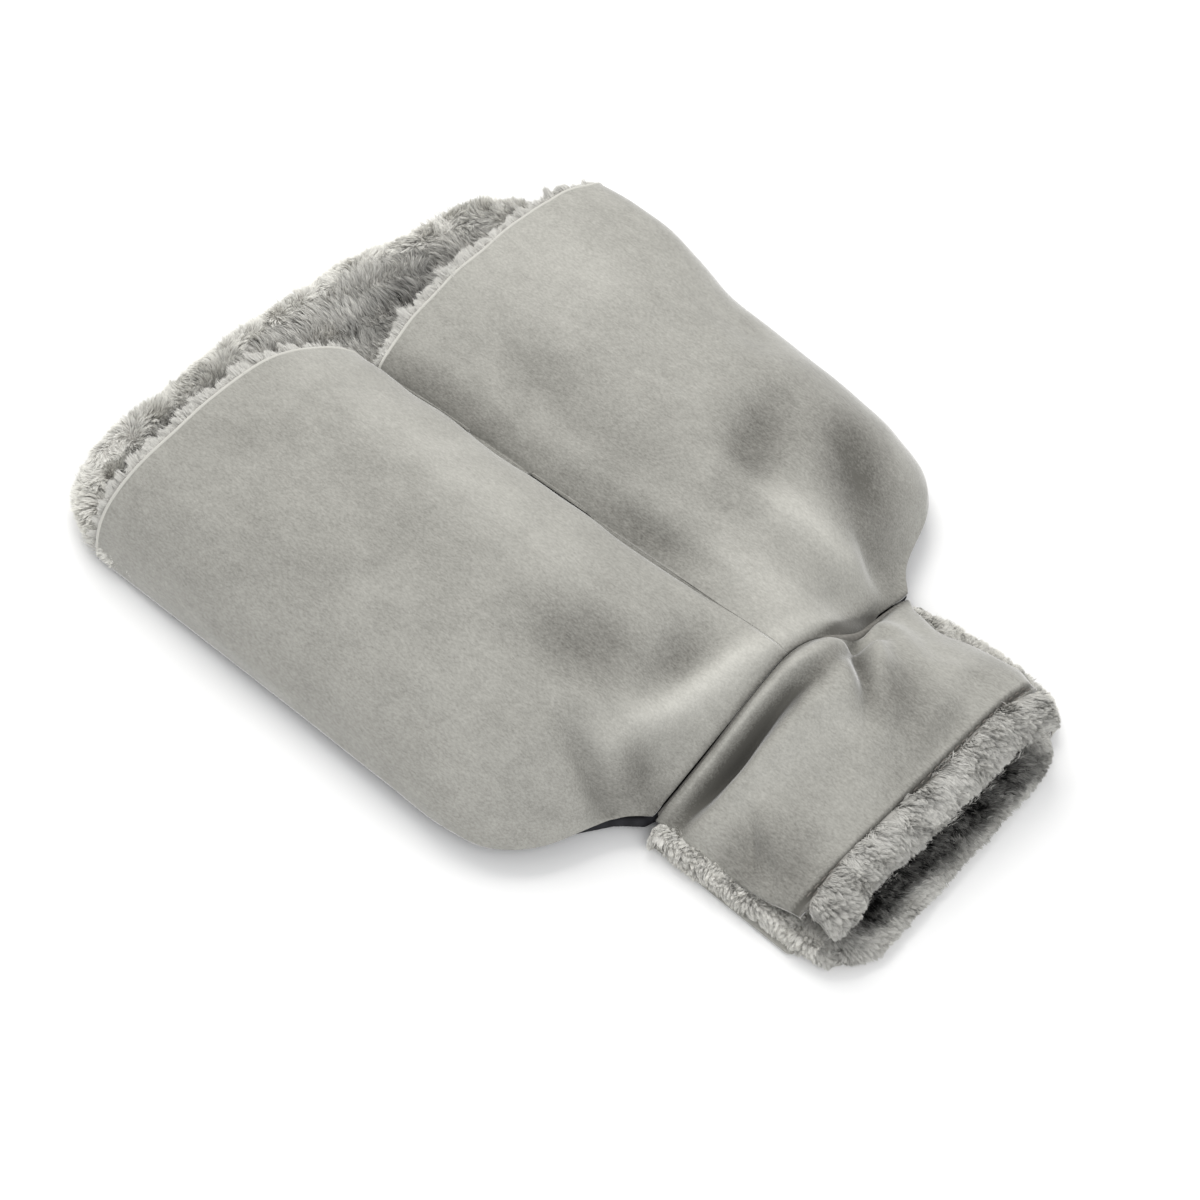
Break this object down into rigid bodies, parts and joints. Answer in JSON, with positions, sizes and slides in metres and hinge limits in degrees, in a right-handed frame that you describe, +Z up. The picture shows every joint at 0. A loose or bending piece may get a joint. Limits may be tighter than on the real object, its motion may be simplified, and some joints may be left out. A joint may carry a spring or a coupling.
{
  "type": "hand warmer muff",
  "caption": "Plush muff with two fur-lined hand pockets and a fur-lined neck and cuff, made as a cover for a hot-water bottle with a screw stopper.",
  "frame": {"origin": "on the table, under the middle of the muff's length, width and height box", "axes": "+Z up, away from the dark back; +Y along the muff to the hand pockets' mouths, with the neck and cuff at -Y; +X across, with X = 0 at the centre seam"},
  "size_m": [0.2648, 0.394, 0.0577],
  "materials": {
    "velour": "matt",
    "lining_fur": "matt",
    "pile_fur": "matt",
    "cuff_fur": "matt",
    "edging": "matt",
    "backing": "matt",
    "bottle_rubber": "satin",
    "insert_brass": "satin",
    "washer_rubber": "satin",
    "stopper_plastic": "satin"
  },
  "bodies": {
    "muff": {"back_cover": "backing", "hand_floor_fur": "pile_fur", "back_edge_roll": "pile_fur", "perimeter_seam": "backing", "left_pocket_panel": "velour", "right_pocket_panel": "velour", "left_pocket_lining": "lining_fur", "right_pocket_lining": "lining_fur", "left_mouth_edging": "edging", "right_mouth_edging": "edging", "centre_seam": "edging", "pocket_divider": "lining_fur", "neck_front_panel": "velour", "neck_front_lining": "lining_fur", "neck_back_panel": "velour", "neck_back_lining": "pile_fur", "waist_seam_tape": "edging", "cuff_rim_front": "cuff_fur", "cuff_lip_back": "cuff_fur", "bottle_bag": "bottle_rubber", "bottle_insert": "insert_brass"},
    "stopper_seal": {"stopper_washer": "washer_rubber"},
    "stopper": {"stopper": "stopper_plastic"}
  },
  "joints": [
    {"name": "stopper_rise", "type": "slide", "parent": "muff", "child": "stopper_seal", "axis": [0, -1, 0], "range_m": [0, 0.0121]},
    {"name": "stopper_turn", "type": "hinge", "parent": "stopper_seal", "child": "stopper", "pos_m": [0, -0.13, 0.0185], "axis": [0, -1, 0], "range_deg": [0, 1080]}
  ],
  "couplings": [
    {"joint": "stopper_rise", "follows": "stopper_turn", "m_per_rad": 0.00063662}
  ]
}
